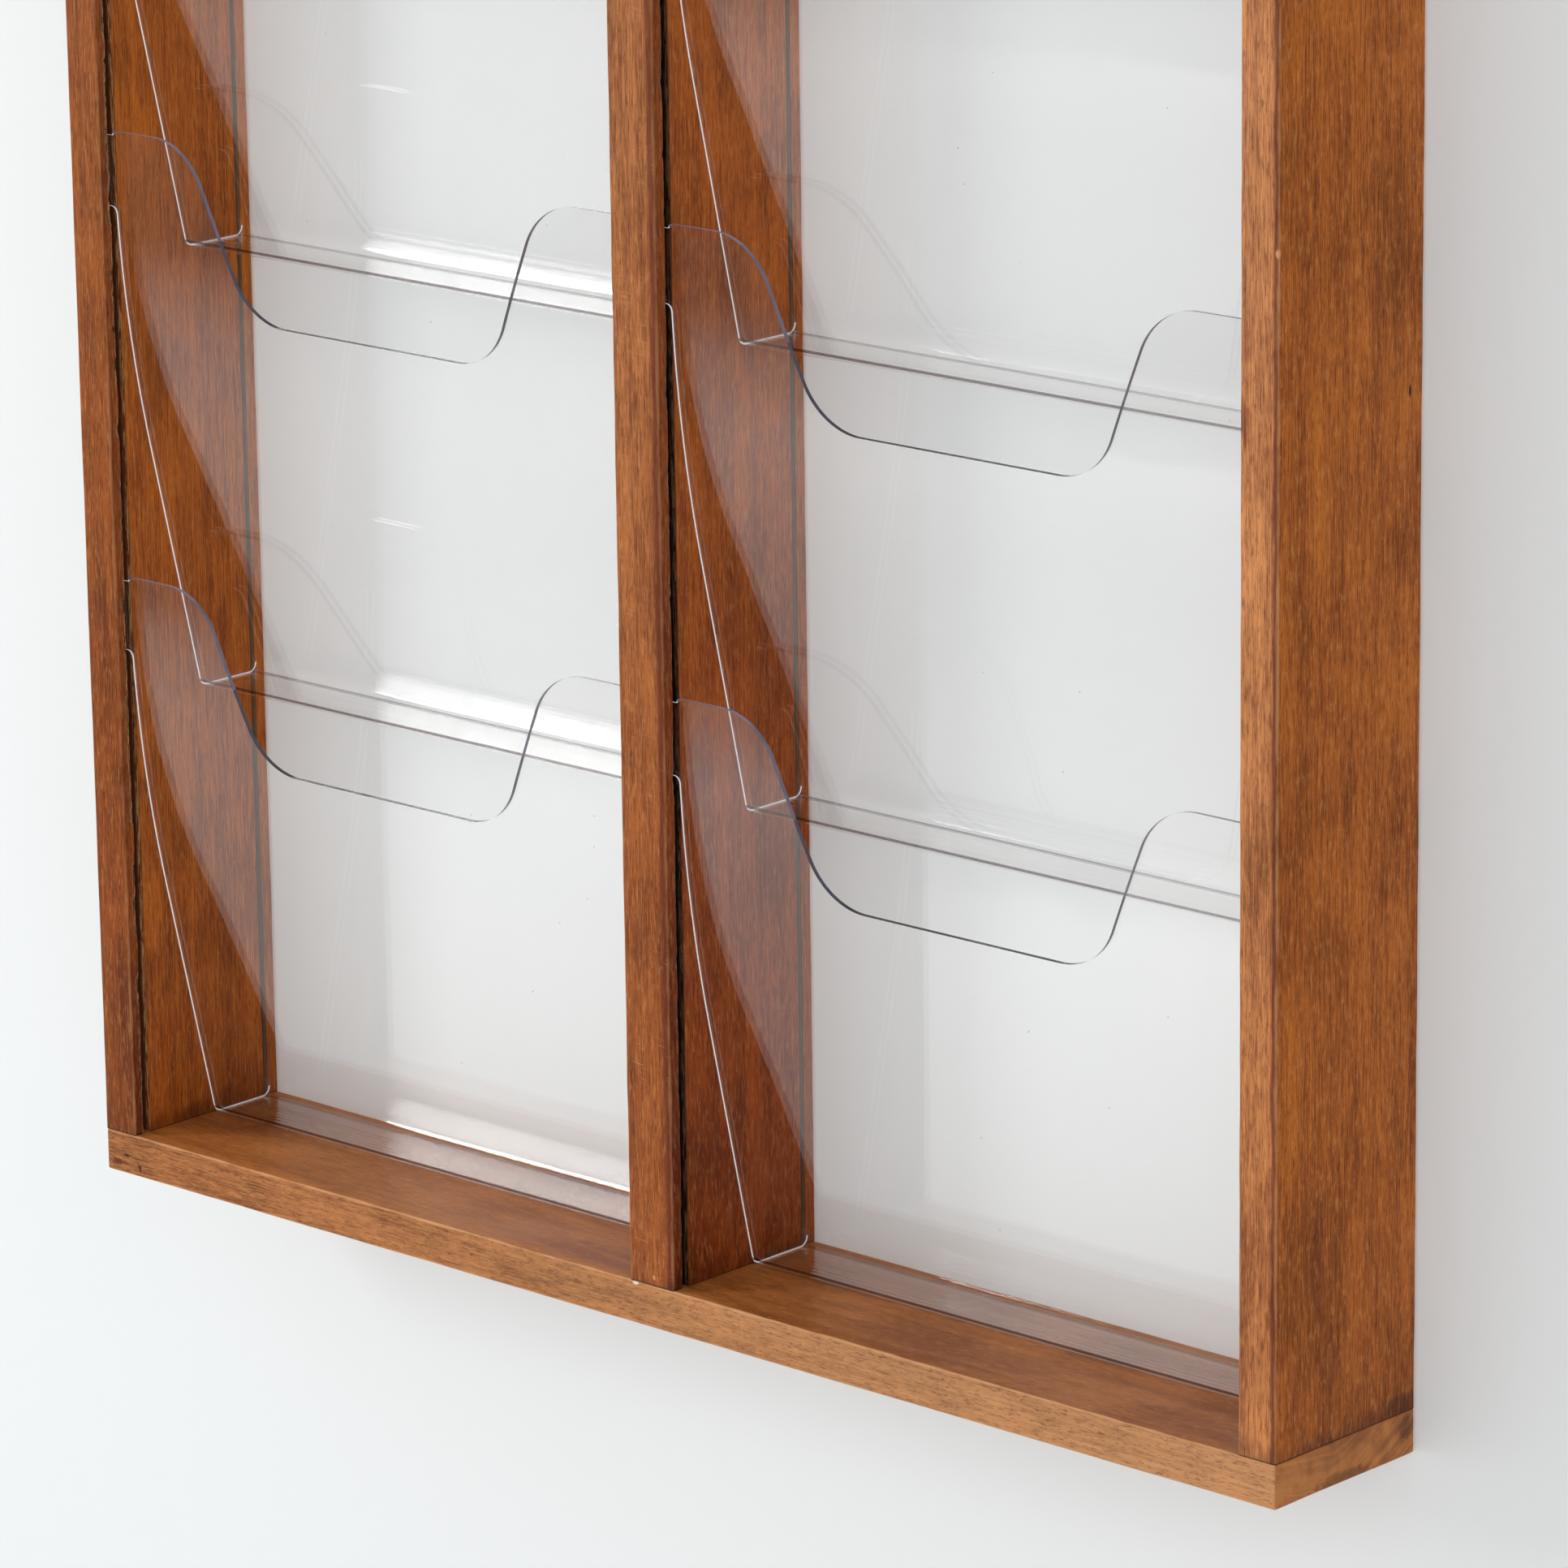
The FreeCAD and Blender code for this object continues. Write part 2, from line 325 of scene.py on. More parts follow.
@dataclass
class Beech:
    """Looks of one board: tones of its sides and front, contrast of its grain, wear and marks."""

    side: tuple
    front: tuple
    pith: tuple
    contrast: float = 1.3
    rubbed: float = 0.4
    scratched: float = 0.0
    strip: float = 0.0
    frayed: float = 0.1
    grooved: int = 0
    # Colour inside the front grooves, darkened as painted shade
    lining: tuple = groove_painted_shade
    aged: tuple = (0.0, 0.0)
    mottled: float = 0.2
    pore_length: float = 4 * MM
    marks: tuple = ()


def stained(colour, change):
    """Stain on early or late wood."""
    return (*(min(1.0, part * factor) for part, factor in zip(colour, change)), 1.0)


class BeechBoard(Finish):
    """Stained beech of a board between two corners, its grain along Z, or along X where it lies."""

    def __init__(self, name, low, high, upright, looks):
        super().__init__(name)
        self.low, self.high, self.upright, self.looks = low, high, upright, looks
        self.x, self.y, self.z = self.place()
        self.along, self.across = (self.z, self.x) if upright else (self.x, self.z)
        ahead = self.facing(2 if upright else 0)
        self.front = self.step(self.facing(1) * -1, 0.35, 0.8)
        self.end = self.step(ahead * ahead, 0.3, 0.7)
        self.lying = 0.0 if upright else self.step(self.facing(2), 0.4, 0.8)
        self.fineness = 1 - self.end - self.lying * 0.85
        self.fibre = self.pattern(*fibre_pattern)
        self.streak = self.pattern(*streak_pattern)
        self.cloud = self.pattern(*cloud_pattern)
        self.rub = self.pattern(*rub_pattern)
        self.blotch = self.grain(self.spread(blotch_size), detail=3.0, roughness=0.55)
        pore = self.pattern(pore_width, looks.pore_length, detail=1.0)
        glint = self.pattern(pore_width, looks.pore_length * glint_stretch, 31.0, detail=1.0)
        self.dark_fleck = self.step(pore, *pore_range) * self.fineness
        self.gold_fleck = self.step(glint, *glint_range) * self.fineness

    def pattern(self, width, length, shift=0.0, detail=2.0, roughness=0.5):
        """Noise drawn out along the grain. The shift sets one pattern off another."""
        place = self.vector(self.across / width + shift, self.y / width, self.along / length)
        return self.grain(place, detail, roughness)

    def figured(self):
        """Bare colour: growth rings round a pith beside the board, fibres and clouds."""
        looks = self.looks
        bow = self.pattern(*bow_pattern)
        ring_across = self.across - looks.pith[0] + (bow - 0.5) * ring_waver
        ring_depth = self.y - looks.pith[1]
        reach = (ring_across * ring_across + ring_depth * ring_depth) ** 0.5
        rings = self.grain(self.vector(reach / ring_size[0], 0.0, self.along / ring_size[1]))
        bands = self.pattern(*band_pattern)
        clouds = (self.cloud - 0.5) * cloud_weight + (self.blotch - 0.5) * blotch_weight
        clouds = clouds + (bands - 0.5) * band_weight
        lines = ((self.fibre - 0.5) * fibre_weight + (self.streak - 0.5) * streak_weight) * self.fineness
        ringed = (rings - 0.5) * (ring_weight + self.end * end_ring_weight)
        change = lines + ringed + clouds * (1 - self.lying * 0.45)
        shade = self.step(0.5 + change * looks.contrast, 0.0, 1.0)
        deep = self.blend(self.front, stained(looks.side, late_wood), stained(looks.front, late_wood))
        pale = self.blend(self.front, stained(looks.side, early_wood), stained(looks.front, early_wood))
        return self.blend(shade, deep, pale)

    def weathered(self, colour):
        """Uprights are darker at the foot and beside the lips, rails bleached to the right."""
        low, looks = self.low, self.looks
        if not self.upright:
            bleached = self.step(self.x, low.x, self.high.x) * self.front * (0.3 + self.streak * 0.9)
            return self.blend(bleached * bleach_cover, colour, worn_pale)
        above = self.z - low.z + (self.cloud - 0.5) * foot_waver
        foot = (1 - self.step(above, 0.0, foot_height)) * (1 - self.front)
        sideways = self.facing(0) * looks.grooved if looks.grooved else self.facing(0) ** 2
        lip_edge = low.y + front_lip
        lip = (1 - self.step(self.y, lip_edge, lip_edge + 0.4 * MM)) * self.step(sideways, 0.4, 0.7)
        colour = self.blend(foot * foot_cover + lip * lip_cover, colour, red_stain_and_painted_shade)
        lower = 1 - self.step(self.z, low.z + aged_below, low.z + fresh_above)
        aged_side, aged_front = looks.aged
        aged = lower * (aged_side + self.front * (aged_front - aged_side))
        return self.blend(aged, colour, aged_varnish, "MULTIPLY")

    def flecked(self, colour):
        """Mottle, then short dark pores and pale dashes along the grain."""
        mottle = self.pattern(*mottle_pattern)
        mottled = (1 - self.end * 0.7) * self.looks.mottled
        colour = self.blend(self.step(mottle, *mottle_dark_range) * mottled, colour, fleck_brown)
        colour = self.blend((1 - self.step(mottle, *mottle_pale_range)) * mottled, colour, fleck_gold)
        colour = self.blend(self.end * end_cover, colour, worn_pale)
        colour = self.blend(self.dark_fleck * pore_cover, colour, fleck_brown)
        return self.blend(self.gold_fleck * glint_cover, colour, fleck_gold)

    def rubbed(self, colour):
        """A red strip beside the front right arris, and arrises pale from wear and a painted edge highlight,
        both uneven.
        """
        low, high, looks = self.low, self.high, self.looks
        uneven = self.rub - 0.5
        if looks.strip:
            inward = high.x - self.x + uneven * (2.4 * MM)
            reddened = (1 - self.step(inward, looks.strip * 0.6, looks.strip * 1.2)) * self.front
            colour = self.blend(reddened * strip_cover, colour, red_stain_and_painted_shade)
        axis = 0 if self.upright else 2
        from_side = self.across.from_ends(low[axis], high[axis])
        from_arris = (self.y - low.y).most(from_side) + uneven * (1.9 * MM)
        # Pale arrises: partly wear, partly a painted highlight along the edges
        rubbed = 1 - self.step(from_arris, 0.1 * MM, 0.95 * MM)
        return self.blend(rubbed * looks.rubbed, colour, worn_pale)

    def pooled(self, colour):
        """Stain gathers beside the joints of an upright."""
        if not self.upright:
            return colour
        from_joint = self.z.from_ends(self.low.z, self.high.z)
        pool = self.grain(self.spread(pool_size))
        seam = 1 - self.step(from_joint, 0.15 * MM, 0.7 * MM)
        gathered = 1 - self.step(from_joint + (pool - 0.5) * (22 * MM), -3 * MM, 8 * MM)
        return self.blend((gathered * pool_cover).most(seam * seam_cover), colour, dark_joint_and_painted_shade)

    def scratched(self, colour):
        """Patches of slanting scratches across the front."""
        if not self.looks.scratched:
            return colour
        slant = self.z + self.x * 0.12
        crossing = self.grain(self.vector(slant / (0.4 * MM), self.x / (8 * MM), 0.0), detail=1.0)
        where = self.grain(self.vector(self.x / (22 * MM), 0.0, self.z / (36 * MM)), detail=1.0)
        scratch = self.step(crossing, *scratch_range) * self.step(where, *scratched_range) * self.front
        return self.blend(scratch * self.looks.scratched, colour, worn_pale)

    def marked(self, colour):
        """Spots with ragged borders."""
        for mark in self.looks.marks:
            parts = []
            for place, middle, half in zip((self.x, self.y, self.z), mark.middle, mark.half_sizes):
                offset = (place - middle * MM) / (half * MM)
                parts.append(offset * offset)
            away = parts[0] + parts[1] + parts[2] + (self.rub - 0.5) * 2.4 + (self.fibre - 0.5) * 1.5
            colour = self.blend((1 - self.step(away, 0.2, 1.1)) * mark.strength, colour, mark.colour)
        return colour

    def depth_zone(self, start, end):
        """1 from one Y to another, with soft ends."""
        soft = 0.2 * MM
        return self.step(self.y, start - soft, start) * (1 - self.step(self.y, end, end + soft))

    def lined(self, colour):
        """Grooves: painted shade inside the front ones, grey in the rear ones, raw fibres on the front lip.
        Gives their share too.
        """
        below = self.x.from_ends(self.low.x, self.high.x)
        lip_edge = self.low.y + front_lip
        rear_end = self.high.y - rear_lip
        near_front = self.depth_zone(lip_edge - 3.2 * MM, lip_edge + 3.4 * MM)
        near_rear = self.depth_zone(rear_end - rear_groove_width - 0.2 * MM, rear_end + 0.2 * MM)
        inside = self.step(below, 0.1 * MM, 0.5 * MM) * near_front.most(near_rear)
        strand = self.pattern(*strand_pattern)
        raw = self.blend(self.step(strand, *raw_range), raw_wood_dark, raw_wood)
        shallow = 1 - self.step(below, 1.2 * MM, 2.6 * MM)
        shreds = self.step(strand, *shred_range) * shallow * near_front
        # Painted shade: the front grooves are lined dark
        lining = self.blend(near_rear, self.looks.lining, rear_groove_grey)
        lining = self.blend(shreds * self.looks.frayed, lining, raw_wood)
        colour = self.blend(inside, colour, lining)
        on_lip = 1 - self.step(self.y, lip_edge + 0.1 * MM, lip_edge + 0.5 * MM)
        torn = self.step(below, 0.06 * MM, 0.2 * MM) * (1 - self.step(below, 1.3 * MM, 2.2 * MM))
        return self.blend(torn * near_front * on_lip, colour, raw), inside

    def finished(self):
        """The board's material, layer over layer."""
        colour = self.figured()
        for layer in (self.weathered, self.flecked, self.rubbed, self.pooled, self.scratched, self.marked):
            colour = layer(colour)
        roughness = 0.5 + self.dark_fleck * 0.12 - (self.blotch - 0.5) * 0.2
        if self.upright:
            colour, inside = self.lined(colour)
            roughness = roughness + inside * 0.35
        height = self.fibre * 0.6 - self.dark_fleck * 0.6 + self.gold_fleck * 0.3
        return self.surface(self.node("BsdfPrincipled", {}, {
            "Base Color": colour,
            "Roughness": roughness,
            "Normal": self.bump(height, 0.4, 0.15 * MM),
            "Specular IOR Level": 0.15,
            "Coat Weight": 0.03,
            "Coat Roughness": 0.25,
        }))


# Meshes and pieces


def in_scene(name, data):
    """Object of a mesh, a lamp or a camera, put into the scene."""
    made = bpy.data.objects.new(name, data)
    scene.collection.objects.link(made)
    return made


def mesh_of(bm, name):
    """Mesh of a bmesh, which is freed, with its faces turned outwards."""
    bmesh.ops.recalc_face_normals(bm, faces=bm.faces)
    mesh = bpy.data.meshes.new(name)
    bm.to_mesh(mesh)
    bm.free()
    return mesh


def tube(bm, rings):
    """Walls through rings of points, with the first and the last ring filled."""
    for lower, upper in zip(rings, rings[1:]):
        for index in range(len(lower)):
            following = (index + 1) % len(lower)
            bm.faces.new((lower[index], lower[following], upper[following], upper[index]))
    bm.faces.new(list(reversed(rings[0])))
    bm.faces.new(rings[-1])


def even_places(low, high, count):
    """Places that share a length evenly, with both its ends."""
    return [low + (high - low) * index / count for index in range(count + 1)]


def arc(centre_x, centre_y, radius, first_angle, sweep=90, count=4):
    """Points of a part of a circle, from its first angle on, in degrees."""
    turns = [math.radians(angle) for angle in even_places(first_angle, first_angle + sweep, count)]
    return [(centre_x + radius * math.cos(turn), centre_y + radius * math.sin(turn)) for turn in turns]


def dress(node, kind, mesh, materials, body):
    """Puts a mesh, smooth except at sharp edges, in the place of a node."""
    mesh.shade_smooth()
    mesh.set_sharp_from_angle(angle=smooth_angle)
    for material in materials:
        mesh.materials.append(material)
    piece = in_scene(f"{node}_{kind}", mesh)
    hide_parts(node)
    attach(piece, body)


def cut(mesh, cutters):
    """The mesh with closed cutter meshes taken out of it."""
    board = in_scene("cut_board", mesh)
    tools = [in_scene("cutter", cutter) for cutter in cutters]
    for tool in tools:
        modifier = board.modifiers.new("cut", "BOOLEAN")
        modifier.operation = "DIFFERENCE"
        modifier.solver = "EXACT"
        modifier.object = tool
    graph = bpy.context.evaluated_depsgraph_get()
    result = bpy.data.meshes.new_from_object(board.evaluated_get(graph))
    result.materials.clear()
    for item in (board, *tools):
        bpy.data.objects.remove(item)
    return result


# Grooved uprights


def ragged(z, length, seed):
    """Uneven value from -1 to 1 that changes along Z over about a length."""
    return noise.noise(Vector((seed, seed * 0.37, z / length)))


@dataclass
class Tear:
    """How the lip of a front groove is torn: width on the face, depth and share of its length."""

    width: float
    depth: float
    spread: float
    seed: float

    def at(self, z):
        coarse = ragged(z, 13 * MM, self.seed)
        fine = ragged(z, 2.4 * MM, self.seed + 5)
        share = min(1.0, max(0.0, self.spread + 0.9 * coarse + 0.6 * fine))
        return self.width * (0.3 + 0.7 * share), self.depth * share


def grooved_face(low, high, z, tear):
    """Depth and Y of the outline points of a grooved face, from front to rear."""
    width, depth = tear.at(z)
    lip = low.y + front_lip
    front_end = lip + front_groove_width
    rear_end = high.y - rear_lip
    rear_start = rear_end - rear_groove_width
    frays = [ragged(z, (1.6 + 0.5 * strand) * MM, tear.seed + 9 + 4 * strand) for strand in range(3)]
    hollow = [depth * (1 + 0.5 * fray) for fray in frays]
    return [
        (0.0, lip - width),
        (hollow[0] * 0.4, lip - width * 0.7),
        (hollow[1] * 0.65, lip - width * 0.42),
        (hollow[2] * 0.9, lip - width * 0.14),
        (depth + 0.1 * MM, lip + 0.12 * MM * frays[1]),
        (groove_depth, lip),
        (groove_depth, front_end),
        (0.3 * MM, front_end),
        (0.0, front_end + 0.2 * MM + 0.12 * MM * ragged(z, 5 * MM, tear.seed + 23)),
        (0.0, rear_start),
        (groove_depth, rear_start),
        (groove_depth, rear_end),
        (0.0, rear_end),
    ]


def upright_outline(low, high, z, tears, seed):
    """Cross-section of an upright at a height, anticlockwise seen from above."""
    uneven = [ragged(z, 23 * MM, seed + 3 * corner) for corner in range(4)]
    front_right, rear_right, rear_left, front_left = [arris_radius * (1 + 0.45 * part) for part in uneven]
    outline = arc(high.x - front_right, low.y + front_right, front_right, -90)
    if "right" in tears:
        outline += [(high.x - depth, y) for depth, y in grooved_face(low, high, z, tears["right"])]
    outline += arc(high.x - rear_right, high.y - rear_right, rear_right, 0)
    outline += arc(low.x + rear_left, high.y - rear_left, rear_left, 90)
    if "left" in tears:
        outline += [(low.x + depth, y) for depth, y in reversed(grooved_face(low, high, z, tears["left"]))]
    outline += arc(low.x + front_left, low.y + front_left, front_left, 180)
    return outline


def upright_mesh(name, low, high, tears, seed):
    bm = bmesh.new()
    rings = []
    for z in even_places(low.z, high.z, round((high.z - low.z) / station_step)):
        rings.append([bm.verts.new((x, y, z)) for x, y in upright_outline(low, high, z, tears, seed)])
    tube(bm, rings)
    return mesh_of(bm, name)


def capsule_cutter(x, low_z, high_z, radius, depth):
    """Upright bar with round ends, from behind the wall plane to a depth in front of it."""
    outline = arc(x, high_z - radius, radius, 0, sweep=180, count=16)
    outline += arc(x, low_z + radius, radius, 180, sweep=180, count=16)
    bm = bmesh.new()
    tube(bm, [[bm.verts.new((px, y, pz)) for px, pz in outline] for y in (depth, -depth)])
    return mesh_of(bm, "capsule")


def hanger_cutters(side):
    """Seat of a keyhole plate, and the room behind its keyhole."""
    low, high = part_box(f"{side}_hanger_plate")
    x = (low.x + high.x) / 2
    seat_radius = (high.x - low.x) / 2 + plate_clearance
    seat = capsule_cutter(x, low.z - plate_clearance, high.z + plate_clearance, seat_radius, plate_thickness)
    room_top = keyhole_rise + keyhole_room_radius
    room_depth = plate_thickness + recess_depth
    return [seat, capsule_cutter(x, -keyhole_room_radius, room_top, keyhole_room_radius, room_depth)]


# Rails


def grid_lines(low, high, step, fine_until=None):
    """Places of grid lines, close together at the rounded ends and where chips are."""
    inner_low, inner_high = low + arris_radius, high - arris_radius
    lines = even_places(inner_low, inner_high, max(1, round((inner_high - inner_low) / step)))
    if fine_until is not None:
        coarse = [line for line in lines if line > fine_until]
        lines = even_places(inner_low, fine_until, round((fine_until - inner_low) / (0.8 * MM))) + coarse
    shares = (0.0, 0.4, 0.72)
    start = [low + arris_radius * share for share in shares]
    end = [high - arris_radius * share for share in reversed(shares)]
    return start + lines + end


def eased(point, low, high, radius):
    """Point of a box, moved onto the box's rounded arrises and corners."""
    inner = Vector([min(max(p, a + radius), b - radius) for p, a, b in zip(point, low, high)])
    return inner + (point - inner).normalized() * radius


def chipped(point, low, chips):
    """Point pushed in where the front face has lost a chip."""
    if point.y > low.y + 2.5 * MM:
        return point
    push = 0.0
    rough = 0.75 + 0.5 * noise.noise(point / (1.6 * MM))
    for x, z, half_length, half_height, depth in chips:
        share = ((point.x - x) / half_length) ** 2 + ((point.z - z) / half_height) ** 2
        if share < 1:
            push = max(push, depth * (1 - share) ** 0.5 * rough)
    return point + Vector((0, push, 0))


def rail_mesh(name, low, high, chips):
    lines = (
        grid_lines(low.x, high.x, 4 * MM, chipped_until if chips else None),
        grid_lines(low.y, high.y, 6 * MM),
        grid_lines(low.z, high.z, 1.2 * MM if chips else 3 * MM),
    )
    bm = bmesh.new()
    made = {}

    def vertex(x, y, z):
        key = (x, y, z)
        if key not in made:
            ease = arris_radius * (1 + 0.4 * noise.noise(Vector((x, y + z, z - y)) / (26 * MM)))
            made[key] = bm.verts.new(chipped(eased(Vector(key), low, high, ease), low, chips))
        return made[key]

    for axis in (2, 1, 0):
        first, second = [lines[other] for other in range(3) if other != axis]
        for end in (lines[axis][0], lines[axis][-1]):
            for a, b in zip(first, first[1:]):
                for c, d in zip(second, second[1:]):
                    corners = [(a, c), (b, c), (b, d), (a, d)]
                    bm.faces.new([vertex(*corner[:axis], end, *corner[axis:]) for corner in corners])
    return mesh_of(bm, name)


def countersinks(low, high, outer_z, inward):
    """Cutter for the screw holes of a rail, wide at its outer face."""
    beyond = 1 * MM
    steps = [
        (-beyond, countersink_radius),
        (0.0, countersink_radius),
        (countersink_radius - screw_hole_radius, screw_hole_radius),
        (high.z - low.z + beyond, screw_hole_radius),
    ]
    bm = bmesh.new()
    for side in ("left", "middle", "right"):
        board_low, board_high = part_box(f"{side}_upright")
        x = (board_low.x + board_high.x) / 2
        for y in (low.y + screw_inset, high.y - screw_inset):
            rings = []
            for level, radius in steps:
                circle = arc(x, y, radius, 0, sweep=360, count=32)[:-1]
                rings.append([bm.verts.new((px, py, outer_z + inward * level)) for px, py in circle])
            tube(bm, rings)
    return mesh_of(bm, "countersinks")


# Boards, each in its own tones

board_looks = {
    "left": Beech(
        side=tone(164, 85, 17), front=tone(134, 69, 18), lining=tone(100, 50, 24),
        pith=(-300 * MM, -110 * MM),
        rubbed=0.3, frayed=1.0, grooved=1, mottled=0.13, aged=(0.1, 0.55),
    ),
    "middle": Beech(
        side=tone(166, 86, 24), front=tone(162, 98, 51), pith=(40 * MM, -120 * MM),
        rubbed=0.3, scratched=0.4, strip=3.0 * MM, frayed=0.25, aged=(1.0, 1.0),
        marks=(Mark((1, -70, -632.5), (0.9, 1, 1.1), worn_pale, 0.7),),
    ),
    "right": Beech(
        side=tone(171, 93, 28), front=tone(190, 124, 76), pith=(330 * MM, 30 * MM),
        contrast=1.25, rubbed=0.5, grooved=-1, aged=(0.1, 0.4), mottled=0.34, strip=2.2 * MM,
        marks=(
            Mark((267.5, -6.5, -304), (1, 0.7, 2.3), ink_black, 1.0),
            Mark((267.5, -7, -632), (2, 10, 4), dark_joint_and_painted_shade, 0.5),
            Mark((267, -70, -252), (1.2, 1.2, 1.6), worn_pale, 0.9),
            Mark((254, -70, -304), (2.4, 1.5, 9), red_stain_and_painted_shade, 0.6),
        ),
    ),
    "rail": Beech(
        side=tone(167, 100, 46), front=tone(151, 94, 50), pith=(cad_low.z + 62 * MM, cad_low.y + 22 * MM),
        contrast=1.7, rubbed=0.75, mottled=0.26, pore_length=2.6 * MM,
        marks=(
            Mark((-7.5, -70, -636.2), (1.8, 1.2, 0.7), chip_pale, 0.9),
            Mark((267.5, -4, -641), (2, 5, 5), dark_joint_and_painted_shade, 0.5),
            Mark((267.5, -36, -649), (2, 16, 3), dark_joint_and_painted_shade, 0.5),
            # The last three marks lie in the chips of rail_chips: painted shade in the pits
            Mark((-262.5, -70, -646.6), (2.6, 2, 1.2), red_stain_and_painted_shade, 0.8),
            Mark((-257, -70, -643.8), (2, 2, 1), dark_joint_and_painted_shade, 0.7),
            Mark((-251, -70, -647.6), (1.4, 2, 1.6), dark_joint_and_painted_shade, 0.85),
        ),
    ),
}
upright_tears = {
    "left": {"right": Tear(width=2.0 * MM, depth=0.75 * MM, spread=0.55, seed=4.0)},
    "middle": {
        "right": Tear(width=1.3 * MM, depth=0.6 * MM, spread=0.15, seed=21.0),
        "left": Tear(width=1.1 * MM, depth=0.5 * MM, spread=0.1, seed=38.0),
    },
    "right": {"left": Tear(width=1.1 * MM, depth=0.5 * MM, spread=0.1, seed=55.0)},
}

# Chips lost from the front of the bottom rail near its left end: X, Z, half length, half height and depth
rail_chips = [[part * MM for part in chip] for chip in (
    (-262.5, -646.6, 2.8, 1.5, 0.7),
    (-257.0, -643.8, 2.2, 1.1, 0.6),
    (-251.0, -647.6, 1.6, 1.9, 0.9),
)]
chipped_until = -244 * MM


def dress_board(node, mesh, upright, looks):
    finish = BeechBoard(f"{node}_beech", *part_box(node), upright, looks).finished()
    dress(node, "board", mesh, [finish], "frame")


for number, (side, tears) in enumerate(upright_tears.items()):
    node = f"{side}_upright"
    mesh = upright_mesh(f"{node}_board", *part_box(node), tears, 100.0 + 40 * number)
    if side != "middle":
        mesh = cut(mesh, hanger_cutters(side))
    dress_board(node, mesh, True, board_looks[side])

for end, chips in (("bottom", rail_chips), ("top", [])):
    node = f"{end}_rail"
    low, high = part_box(node)
    outer_z, inward = (low.z, 1) if end == "bottom" else (high.z, -1)
    mesh = rail_mesh(f"{node}_board", low, high, chips)
    mesh = cut(mesh, [countersinks(low, high, outer_z, inward)])
    dress_board(node, mesh, False, board_looks["rail"])


# Clear pockets

plastic_index = 1.49
dust_scale = 70.0
dust_radius = (0.01, 0.028)
dust_choice = (0.8, 0.81)
dust_grey = (0.6, 0.6, 0.58, 1.0)
# Painted highlight on the slope of a mouth's cut that faces the key light
right_slope_painted_highlight = tone(184, 184, 190)

# Ripple in the gloss of a flat sheet and of a drawn one: its size along X, Y and Z, strength and height
flat_ripple = ((30 * MM, 12 * MM, 12 * MM), 0.1, 0.5 * MM)
drawn_ripple = ((700 * MM, 1.2 * MM, 1.2 * MM), 0.5, 0.3 * MM)


def clear_sheet(name, tint, ripple=flat_ripple):
    """Thin clear plastic: both faces reflect by angle and let the rest straight through."""
    sheet = Finish(name)
    # The inner side of a face reflects as its outer side does, so that nothing is trapped in the sheet
    behind = sheet.node("NewGeometry", output="Backfacing")
    sided_index = plastic_index + behind * (1 / plastic_index - plastic_index)
    size, strength, height = ripple
    normal = sheet.bump(sheet.grain(sheet.spread(*size), detail=0.0), strength, height)
    fresnel = sheet.node("Fresnel", {}, {"IOR": sided_index, "Normal": normal})
    through = sheet.node("BsdfTransparent", {}, {"Color": (*tint, 1.0)})
    polish = {"Base Color": white, "Metallic": 1.0, "Roughness": 0.012, "Normal": normal}
    gloss = sheet.node("BsdfPrincipled", {}, polish)
    clear = sheet.node("MixShader", {}, {0: fresnel, 1: through, 2: gloss})
    point = sheet.node("TexCoord", output="Object")
    spot = sheet.node("TexVoronoi", {}, {"Vector": point, "Scale": dust_scale}, output="Distance")
    chosen = sheet.node("SeparateXYZ", {}, {0: spot.other("Color")})
    dust = (1 - sheet.step(spot, *dust_radius)) * sheet.step(chosen, *dust_choice) * 0.5
    speck = sheet.node("BsdfPrincipled", {}, {"Base Color": dust_grey, "Roughness": 0.7})
    return sheet.surface(sheet.node("MixShader", {}, {0: dust, 1: clear, 2: speck}))


def sawn_edge():
    """Frosted cut along the sides of a sheet, with a painted glow of its own colour."""
    edge = Finish("sawn_sheet_edge_painted_glow")
    chatter = edge.grain(edge.spread(1 * MM))
    colour = edge.blend(chatter, tone(206, 205, 210), tone(250, 250, 252))
    return edge.surface(edge.node("BsdfPrincipled", {}, {
        "Base Color": colour,
        "Roughness": 0.35 + chatter * 0.3,
        # Painted glow: the cut gives off light of its own colour, though it is no lamp
        "Emission Color": colour,
        "Emission Strength": 0.3,
    }))


def polished_edge(name, slope_dark, slope_pale, level_tone):
    """Smooth cut along a pocket's mouth in painted reflections: streaked on its left slope, pale on its
    right one.
    """
    edge = Finish(name)
    streak = edge.grain(edge.spread(5 * MM, 0.5 * MM, 5 * MM))
    level = edge.step(edge.facing(2), 0.8, 0.985)
    slope = edge.blend(streak, slope_dark, slope_pale)
    # Painted highlight: the slope that looks towards -X, where the key light stands, is pale
    slope = edge.blend(edge.step(edge.facing(0) * -1, 0.1, 0.4), slope, right_slope_painted_highlight)
    colour = edge.blend(level, slope, level_tone)
    sockets = {"Base Color": colour, "Roughness": 0.14 + streak * 0.1}
    return edge.surface(edge.node("BsdfPrincipled", {}, sockets))


# Places of a pocket's finishes in its list of materials
CLEAR, SAWN, EAR_EDGE, DIP_EDGE, FRONT_FOLD, REAR_FOLD, FORMED, FLOOR = range(8)


